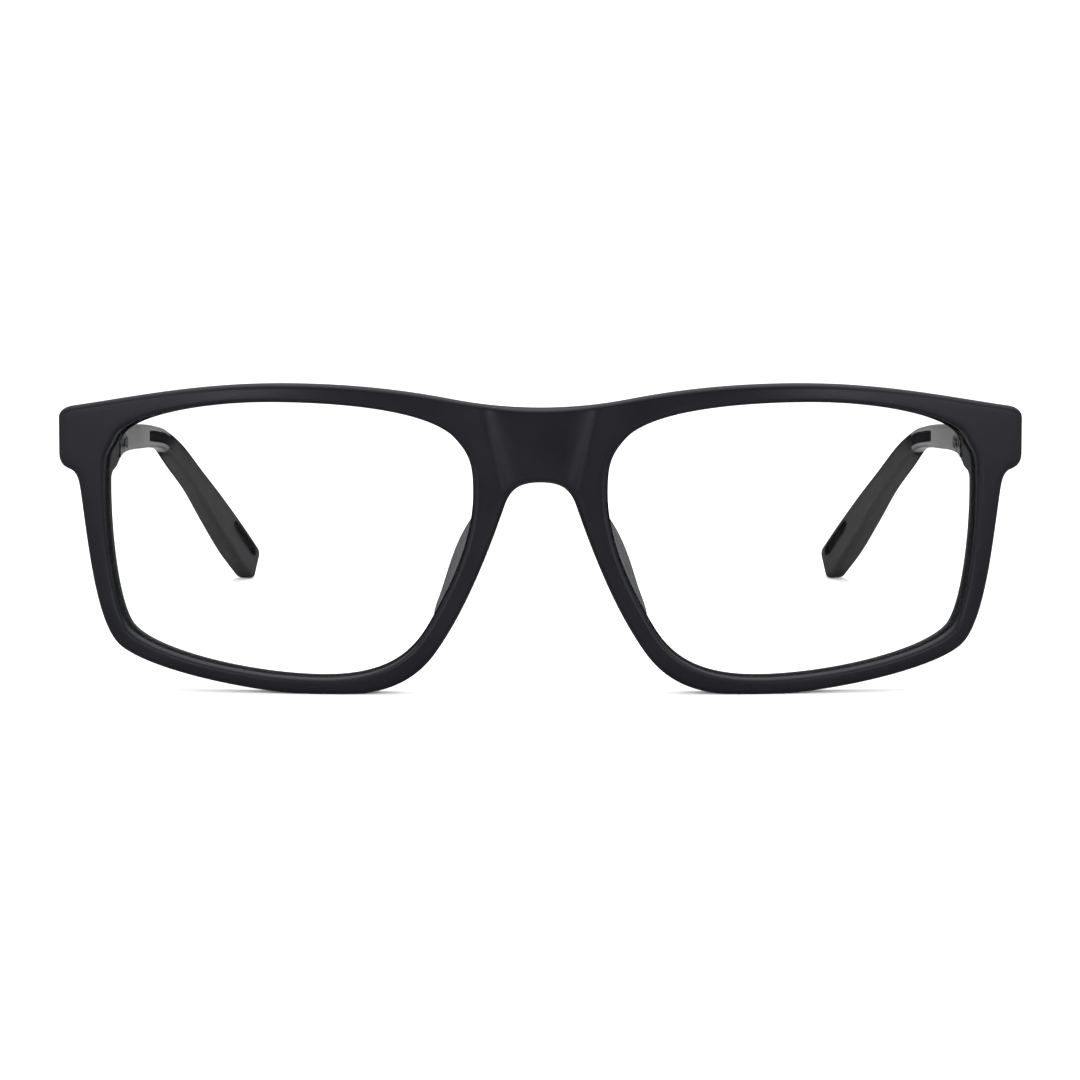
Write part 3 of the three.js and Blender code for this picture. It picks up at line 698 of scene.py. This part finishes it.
# ---- temples ------------------------------------------------------------------------------
class Stations:
    """Cross-section frames along the temple: centre, outboard, upward, half sizes."""

    def __init__(self, start_y, end_y, count):
        places = TEMPLE[:, [1, 0, 2]]
        sizes = TEMPLE[:, [3, 0, 4]]
        fine = np.linspace(0, 1, 4001)
        y = through(places, fine)[:, 1]
        u = np.linspace(np.interp(start_y, y, fine), np.interp(end_y, y, fine), count + 1)
        self.centre = through(places, u)
        size = through(sizes, u)
        self.thick, self.tall = size[:, 0], size[:, 2]
        nudge = 1e-4
        along = through(places, u + nudge) - through(places, u - nudge)
        along /= np.linalg.norm(along, axis=1)[:, None]
        bend = smooth(*BEND, self.centre[:, 1])[:, None]
        along = (1 - bend) * np.array((0, 1, 0)) + bend * along
        self.along = along / np.linalg.norm(along, axis=1)[:, None]
        out = np.cross(self.along, (0, 0, 1))
        self.out = out / np.linalg.norm(out, axis=1)[:, None]
        self.up = np.cross(self.out, self.along)

    def ring(self, i, across, rise, ahead=0.0):
        """Points at distances across and up from the centre of one cross-section."""
        centre = self.centre[i] + self.along[i] * ahead
        return centre + np.outer(across, self.out[i]) + np.outer(rise, self.up[i])


def rounded_section(thick, tall, share=CORNER, steps=CORNER_STEPS):
    """A rounded rectangle as distances across and up. The share sets its corners' radius."""
    radius = min(thick, tall) * share
    across, rise = [], []
    for corner in range(4):
        middle = math.pi / 4 + corner * math.pi / 2
        for angle in np.linspace(corner, corner + 1, steps) * math.pi / 2:
            across.append(math.copysign(thick - radius, math.cos(middle)) + radius * math.cos(angle))
            rise.append(math.copysign(tall - radius, math.sin(middle)) + radius * math.sin(angle))
    return np.array(across)[::-1], np.array(rise)[::-1]


def bar(start, end, low_face, high_face, tall):
    """A straight-sided bar along the temple's inner face, as a cutter or a tongue."""
    stations = Stations(start, end, BAR_STEPS)
    rings = []
    for i in range(BAR_STEPS + 1):
        face = -stations.thick[i]
        across = np.array((face + low_face, face + high_face, face + high_face, face + low_face))
        levels = np.array((-tall, -tall, tall, tall))
        rings.append(stations.ring(i, across[::-1], levels[::-1]))
    return skin(rings)


def temple_arm(name, side):
    stations = Stations(TEMPLE[0, 0], SLEEVE_Y, STATIONS)
    rings = [
        stations.ring(i, *rounded_section(stations.thick[i], stations.tall[i]))
        for i in range(STATIONS + 1)
    ]
    piece = sided_object(f"temple_{name}_metal", skin(rings), side, GUNMETAL)
    recess = bar(
        TONGUE_Y - CLOSE, SLEEVE_Y + RECESS_PAST,
        -CUT_PROUD, TONGUE_DEEP + CLOSE, TONGUE_TALL + CLOSE,
    )
    shapes = [recess, hinge_notch()]
    carve(piece, [sided_object("cutter", shape, side, GUNMETAL) for shape in shapes])
    finished(piece, f"temple_arm_{name}", f"temple_{name}")
    soften(piece, METAL_BEVEL, 2, 50)


def hinge_notch():
    """The room in the temple's head for the barrels: square, and open at the top."""
    room = BARREL_R + GAP
    inner, outer = HINGE[0] - 2 * room, HINGE[0] + room
    near, far = END_Y, HINGE[1] + room + 2 * GAP
    corners = [(inner, near), (outer, near), (outer, far), (inner, far)]
    rings = [[(x, y, z) for x, y in corners] for z in (BARREL_LOW - GAP, 2 * BARREL_LOW)]
    return skin(rings)


def temple_tip(name, side):
    stations = Stations(SLEEVE_Y + CLOSE, TEMPLE[-1, 0], STATIONS)
    rings = []
    for part in LIP["shares"]:
        across, rise = rounded_section(stations.thick[0], stations.tall[0])
        shrink = 1 - LIP["shrink"] * part
        rings.append(stations.ring(0, across * shrink, rise * shrink, LIP["ahead"] * (1 - part)))
    for i in range(2, STATIONS + 1):
        share = CORNER - (CORNER - TIP_CORNER) * smooth(0.2, 0.6, i / STATIONS)
        section = rounded_section(stations.thick[i], stations.tall[i], share)
        rings.append(stations.ring(i, *section))
    across, rise = section
    for angle in np.linspace(0, math.pi / 2, TIP_STEPS + 1)[1:]:
        shrink = TIP_BLUNT + (1 - TIP_BLUNT) * math.cos(angle)
        rings.append(stations.ring(-1, across * shrink, rise * shrink, TIP_END * math.sin(angle)))
    piece = sided_object(f"tip_{name}_rubber", skin(rings), side, TIP_RUBBER, 50)
    carve(piece, [sided_object("cutter", slot_cutter(), side, TIP_RUBBER)])
    tongue = bar(TONGUE_Y, SLEEVE_Y + TONGUE_ROOT, TONGUE_FACE, TONGUE_DEEP, TONGUE_TALL)
    carve(piece, [sided_object("tongue", tongue, side, TIP_RUBBER)], "UNION")
    finished(piece, f"temple_tip_{name}", f"temple_{name}")
    soften(piece, RUBBER_BEVEL, 2, 50)


def slot_cutter():
    """A round-ended groove near the top edge of the tip's inner face."""
    stations = Stations(SLOT["start"], SLOT["end"], SLOT_STEPS)
    rings = []
    for i in range(SLOT_STEPS + 1):
        reach = 1 - 2 * i / SLOT_STEPS
        tall = SLOT["tall"] * max(SLOT_END, (1 - abs(reach) ** SLOT_FULLNESS) ** 0.5)
        face = -stations.thick[i]
        low, deep = face - CUT_PROUD, face + SLOT["deep"]
        across = np.array((low, deep, deep, low))
        levels = SLOT["rise"] + tall * np.array((-1, -0.8, 0.8, 1))
        rings.append(stations.ring(i, across[::-1], levels[::-1]))
    return skin(rings)


# ---- the object ---------------------------------------------------------------------------
frame_front()
for name, side in (("left", 1), ("right", -1)):
    lens(name, side)
    nose_pad(name, side)
    temple_arm(name, side)
    temple_tip(name, side)
for node, cad in frame["nodes"].items():
    for kind, material in (("leaf", BLACK_STEEL), ("screw", STEEL), ("rivet", STEEL)):
        if kind in node:
            cad.data.materials.clear()
            cad.data.materials.append(material)


# ---- floor, light and camera --------------------------------------------------------------
def floor():
    mesh = bpy.data.meshes.new("floor")
    reach = 6.0
    hair = 0.00005
    corners = [(-reach, -reach, 0), (reach, -reach, 0), (reach, reach, 0), (-reach, reach, 0)]
    mesh.from_pydata(corners, [], [(0, 1, 2, 3)])
    mesh.materials.append(pale_floor())
    ground = bpy.data.objects.new("floor", mesh)
    ground.location.z = cad_low.z - hair
    bpy.context.scene.collection.objects.link(ground)


def area_light(name, place, target, size, power):
    data = bpy.data.lights.new(name, "AREA")
    data.shape = "RECTANGLE"
    data.size, data.size_y = size
    data.energy = power
    lamp = bpy.data.objects.new(name, data)
    lamp.location = place
    lamp.rotation_euler = (Vector(target) - Vector(place)).to_track_quat("-Z", "Y").to_euler()
    bpy.context.scene.collection.objects.link(lamp)


def studio():
    world = bpy.data.worlds.new("studio")
    world.use_nodes = True
    sky = world.node_tree.nodes["Background"]
    sky.inputs["Color"].default_value = (1, 1, 1, 1)
    sky.inputs["Strength"].default_value = 1.13
    bpy.context.scene.world = world
    area_light("overhead", (0, 0.1, 0.8), (0, -0.05, 0), (0.7, 0.3), 4.5)
    for side in (-1, 1):
        area_light("side", (side * 0.55, -0.68, 0.3), (0, -0.05, 0.03), (0.3, 0.5), 3.5)
        area_light("bridge", (side * 0.3, -0.75, 0.12), (0, -0.06, 0.03), (0.1, 0.3), 1.8)
        area_light("rim", (side * 0.85, -0.3, 0.15), (0, -0.06, 0.02), (0.2, 0.4), 2.5)


def camera():
    """The photograph's view: aimed near the rims' middle, from 6.65 degrees above it."""
    distance, elevation, width = 0.5, math.radians(6.65), 0.15736
    data = bpy.data.cameras.new("camera")
    data.sensor_width = 36
    data.lens = data.sensor_width * distance / width
    data.clip_start, data.clip_end = 0.01, 50
    eye = bpy.data.objects.new("camera", data)
    aside, past_bridge, height_share = -0.00006, 0.002, 0.494
    target = Vector((aside, SHIFT[1] * MM + past_bridge, height_share * (cad_high.z - cad_low.z)))
    back = Vector((0, -math.cos(elevation), math.sin(elevation)))
    eye.location = target + back * distance
    eye.rotation_mode = "QUATERNION"
    eye.rotation_quaternion = (-back).to_track_quat("-Z", "Y")
    bpy.context.scene.collection.objects.link(eye)
    bpy.context.scene.camera = eye


floor()
studio()
camera()
bpy.context.scene.view_settings.view_transform = "Standard"
